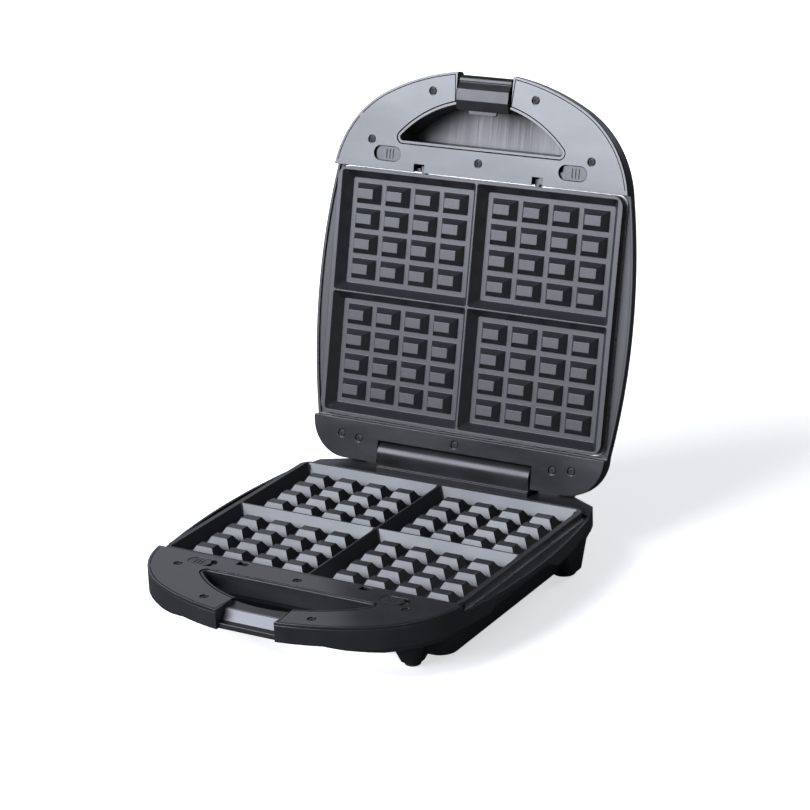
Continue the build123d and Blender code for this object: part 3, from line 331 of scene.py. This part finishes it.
# Screws: small black-oxide pan heads with a punched cross, sunk in the panels' round recesses.
# Each is turned a little differently, as the driver leaves it, and its shank runs into a boss.
mat, tree, shader, coord = start("screw_black", (0.02, 0.02, 0.021), 0.42, 0.0, 0.24)
wear = noise(tree, coord, 1400.0, 3.0)
shade = tint(tree, spread(tree, wear, 0.0, 1.0), (0.010, 0.010, 0.011), (0.030, 0.030, 0.033))
tree.links.new(shade.outputs["Result"], shader.inputs["Base Color"])
relief(tree, shader, wear, 0.1, 0.0001, 0.0)
mm = 0.001
front = [(-99.3, -126.3), (99.3, -126.3), (-46.3, -169.6), (46.3, -169.6), (0.0, -115.4)]
rear = [(-106.0, 117.6), (-89.3, 119.5), (0.0, 112.1), (89.3, 119.5), (106.0, 117.6)]
profile = ((1.5, -8.5), (1.5, 0.0), (2.9, 0.0), (2.9, 0.6), (2.6, 0.95), (2.0, 1.1))   # radius, height
seat = -0.7                    # underside of a head, from the rim plane
arm, reach = 0.50, 1.90        # half width and half length of the cross
cross_floor, cross_taper = 0.25, 0.62
round_steps = 32
for body, spots in (("base", front), ("lid", front + rear)):
    middle, back, out = halves[body]
    points, faces = [], []

    def spot(centre, u, v, height):
        return centre + (Vector((u, 0.0, 0.0)) + back * v) * mm + out * ((seat + height) * mm)

    for number, (x, y) in enumerate(spots):
        centre = middle + Vector((x * mm, 0.0, 0.0)) + back * (y * mm)
        first = len(points)
        for radius, height in profile:
            for step in range(round_steps):
                turn = math.tau * step / round_steps
                points.append(spot(centre, radius * math.cos(turn), radius * math.sin(turn), height))
        for level in range(len(profile) - 1):
            for step in range(round_steps):
                one, two = step, (step + 1) % round_steps
                low, high = first + level * round_steps, first + (level + 1) * round_steps
                faces.append((low + one, low + two, high + two, high + one))
        faces.append(tuple(first + step for step in reversed(range(round_steps))))
        spin = 0.35 + 0.9 * number
        cross = []
        for quarter in range(4):
            turn = spin + quarter * math.tau / 4.0
            for along, across in ((arm, -arm), (reach, -arm), (reach, arm)):
                cross.append((along * math.cos(turn) - across * math.sin(turn),
                              along * math.sin(turn) + across * math.cos(turn)))
        mouth = len(points)
        for shrink, height in ((1.0, profile[-1][1]), (cross_taper, cross_floor)):
            for u, v in cross:
                points.append(spot(centre, u * shrink, v * shrink, height))
        count = len(cross)
        for step in range(count):
            after = (step + 1) % count
            faces.append((mouth + step, mouth + after, mouth + count + after, mouth + count + step))
        faces.append(tuple(mouth + count + step for step in range(count)))
        # the head's top is closed from the cross's mouth out to the last ring
        top = first + (len(profile) - 1) * round_steps
        ring = [math.atan2(v, u) % math.tau for u, v in cross]
        nearest = [round(turn / math.tau * round_steps) % round_steps for turn in ring]
        for step in range(count):
            after = (step + 1) % count
            a, b = nearest[step], nearest[after]
            span = (b - a) % round_steps
            if span > round_steps // 2:
                span = 0
            fan = [top + (a + k) % round_steps for k in range(span + 1)]
            faces.append(tuple([mouth + step] + fan + [mouth + after]))
    piece = build(body + "_cross_screws", points, faces, mat, body, "screw_steel")
    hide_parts(body + "_screws")

# Lugs: blanked steel tabs riveted to the skirts of the plates, under the same coat of soot-dark finish.
mat, tree, shader, coord = start("lug_steel", (0.08, 0.08, 0.085), 0.50, 0.6)
grind = noise(tree, coord, 900.0, 3.0)
tree.links.new(spread(tree, grind, 0.36, 0.55).outputs["Result"], shader.inputs["Roughness"])
shade = tint(tree, spread(tree, grind, 0.0, 1.0), (0.05, 0.05, 0.055), (0.10, 0.10, 0.105))
tree.links.new(shade.outputs["Result"], shader.inputs["Base Color"])
put(mat, "base_plate_lug_left", "base_plate_lug_right", "lid_plate_lug_left", "lid_plate_lug_right")

# Hinge rod and latch pin: drawn steel wire with fine rings round it from the die.
# The rod runs through the block's barrel into both ears, and the pin is pressed into the lid's notch.
mat, tree, shader, coord = start("rod_steel", (0.52, 0.52, 0.53), 0.25, 1.0)
ring = noise(tree, coord, 300.0, 2.0, stretch=(6.0, 0.3, 0.3))
tree.links.new(spread(tree, ring, 0.18, 0.34).outputs["Result"], shader.inputs["Roughness"])
relief(tree, shader, ring, 0.05, 0.0001, 0.0)
put(mat, "hinge_rod", "latch_pin")

# Plate catches: sliding buttons in the panels' own dark plastic, with three shallow grip grooves.
# Each runs on a shelf behind its panel, and its finger reaches over a lug.
mat, tree, shader, coord = start("catch_plastic", (0.016, 0.016, 0.017), 0.30, 0.0, 0.6)
fine = noise(tree, coord, 2000.0, 2.0)
tree.links.new(spread(tree, fine, 0.26, 0.38).outputs["Result"], shader.inputs["Roughness"])
shade = tint(tree, spread(tree, fine, 0.0, 1.0), (0.013, 0.013, 0.014), (0.020, 0.020, 0.022))
tree.links.new(shade.outputs["Result"], shader.inputs["Base Color"])
relief(tree, shader, fine, 0.08, 0.0001, 0.0004)
put(mat, "base_slider_left", "base_slider_right", "lid_slider_left", "lid_slider_right")

# Lid cover: brushed aluminium sheet, its lines running from the handle to the hinge.
# The same sheet closes the back of the lid's finger opening.
mat, tree, shader, coord = start("brushed_cover", (0.20, 0.20, 0.21), 0.58, 0.75, 0.5)
brush = noise(tree, coord, 900.0, 3.0, stretch=(1.0, 0.02, 0.02), turn=lean)
broad = noise(tree, coord, 30.0, 2.0, stretch=(1.0, 0.05, 0.05), turn=lean)
tree.links.new(spread(tree, brush, 0.50, 0.66).outputs["Result"], shader.inputs["Roughness"])
shade = tint(tree, spread(tree, broad, 0.0, 1.0), (0.132, 0.129, 0.131), (0.158, 0.155, 0.157))
tree.links.new(shade.outputs["Result"], shader.inputs["Base Color"])
relief(tree, shader, brush, 0.15, 0.0001, 0.0)
put(mat, "lid_cover")

# Lenses: moulded acrylic domes over the two lamps, red for power and green for ready.
# They are pushed into holes of the cover.
for lens, color in (("lamp_power", (0.35, 0.012, 0.010)), ("lamp_ready", (0.012, 0.18, 0.03))):
    mat, tree, shader, coord = start("lens_" + lens, color, 0.12)
    swirl = noise(tree, coord, 500.0, 2.0)
    tree.links.new(spread(tree, swirl, 0.08, 0.16).outputs["Result"], shader.inputs["Roughness"])
    shader.inputs["Coat Weight"].default_value = 0.5
    relief(tree, shader, swirl, 0.03, 0.0001, 0.0)
    put(mat, lens)

# Floor and backdrop: one pale sheet that curves up behind the machine.
# To the camera it glows a little, and more with distance, so that it runs out into white.
mesh = bpy.data.meshes.new("floor_sheet")
sheet_side, bend_start, bend_r, bend_steps = 6.0, 2.5, 1.2, 8
points = []
for x in (-sheet_side, sheet_side):
    points.append((x, -sheet_side, 0.0))
    points.append((x, bend_start, 0.0))
    for step in range(1, bend_steps + 1):
        turn = math.radians(90.0 * step / bend_steps)
        points.append((x, bend_start + bend_r * math.sin(turn), bend_r - bend_r * math.cos(turn)))
    points.append((x, bend_start + bend_r, sheet_side))
count = len(points) // 2
faces = [(i, i + 1, count + i + 1, count + i) for i in range(count - 1)]
mesh.from_pydata(points, [], faces)
for face in mesh.polygons:
    face.use_smooth = True
floor = bpy.data.objects.new("floor_sheet", mesh)
bpy.context.scene.collection.objects.link(floor)
mat, tree, shader, coord = start("floor_paper", (0.93, 0.93, 0.93), 0.9, 0.0, 0.1)
weave = noise(tree, coord, 60.0, 3.0)
paper = tint(tree, spread(tree, weave, 0.0, 1.0), (0.92, 0.92, 0.92), (0.94, 0.94, 0.94))
# To every ray but the camera's the sheet is dark grey, a painted shade that keeps its light out of the
# machine's bounce and reflections.
seen = tree.nodes.new("ShaderNodeLightPath")
dim = tree.nodes.new("ShaderNodeMix")
dim.data_type = "RGBA"
dim.inputs["A"].default_value = (0.10, 0.10, 0.10, 1.0)
tree.links.new(seen.outputs["Is Camera Ray"], dim.inputs["Factor"])
tree.links.new(paper.outputs["Result"], dim.inputs["B"])
tree.links.new(dim.outputs["Result"], shader.inputs["Base Color"])
shader.inputs["Emission Color"].default_value = (1.0, 1.0, 1.0, 1.0)
away = tree.nodes.new("ShaderNodeVectorMath")
away.operation = "LENGTH"
tree.links.new(coord.outputs["Object"], away.inputs[0])
fade = tree.nodes.new("ShaderNodeMapRange")
fade.inputs["From Min"].default_value = 0.55
fade.inputs["From Max"].default_value = 1.80
fade.inputs["To Min"].default_value = 0.60
fade.inputs["To Max"].default_value = 1.00
tree.links.new(away.outputs["Value"], fade.inputs["Value"])
glow = tree.nodes.new("ShaderNodeMath")
glow.operation = "MULTIPLY"
tree.links.new(fade.outputs["Result"], glow.inputs[1])
tree.links.new(seen.outputs["Is Camera Ray"], glow.inputs[0])
tree.links.new(glow.outputs["Value"], shader.inputs["Emission Strength"])
floor.data.materials.append(mat)

# Light: a tall soft window in front and to the left, a dim pale wall behind, and two narrow strips,
# right and behind, that draw the edges.
for name, place, target, width, height, power in (
        ("window_front", (-1.50, -2.65, 2.00), (0.0, 0.0, 0.20), 2.6, 2.8, 290.0),
        ("wall_back", (-1.45, 2.40, 1.05), (0.0, 0.0, 0.10), 2.6, 1.6, 8.5),
        ("strip_right", (2.60, -1.55, 0.70), (0.0, 0.0, 0.20), 0.35, 1.4, 14.0),
        ("strip_back", (0.95, 2.30, 1.45), (0.0, 0.0, 0.10), 1.0, 0.35, 12.0)):
    data = bpy.data.lights.new(name, "AREA")
    data.shape = "RECTANGLE"
    data.size = width
    data.size_y = height
    data.energy = power
    data.color = (0.86, 0.90, 1.0)
    lamp = bpy.data.objects.new(name, data)
    lamp.location = place
    lamp.rotation_euler = (Vector(target) - Vector(place)).to_track_quat("-Z", "Y").to_euler()
    bpy.context.scene.collection.objects.link(lamp)

# Room: dim and even, so that the lights draw the forms, and white where the camera looks past the sheet.
world = bpy.data.worlds.new("room")
bpy.context.scene.world = world
world.use_nodes = True
tree = world.node_tree
shader = tree.nodes["Background"]
path = tree.nodes.new("ShaderNodeLightPath")
mix = tree.nodes.new("ShaderNodeMix")
mix.data_type = "RGBA"
mix.inputs["A"].default_value = (0.10, 0.10, 0.11, 1.0)
mix.inputs["B"].default_value = (1.0, 1.0, 1.0, 1.0)
tree.links.new(path.outputs["Is Camera Ray"], mix.inputs["Factor"])
tree.links.new(mix.outputs["Result"], shader.inputs["Color"])
bpy.context.scene.view_settings.view_transform = "Standard"

# Camera at the photograph's viewpoint, with the lens that the fit to the plates gave.
data = bpy.data.cameras.new("view")
data.sensor_fit = "HORIZONTAL"
data.sensor_width = 36.0
data.lens = 117.80
data.clip_end = 50.0
camera = bpy.data.objects.new("view", data)
camera.matrix_world = Matrix(((0.865820, -0.139481, 0.480522, 0.991196),
                              (0.499206, 0.305891, -0.810693, -1.639288),
                              (-0.033911, 0.941794, 0.334477, 0.827628),
                              (0.0, 0.0, 0.0, 1.0)))
bpy.context.scene.collection.objects.link(camera)
bpy.context.scene.camera = camera
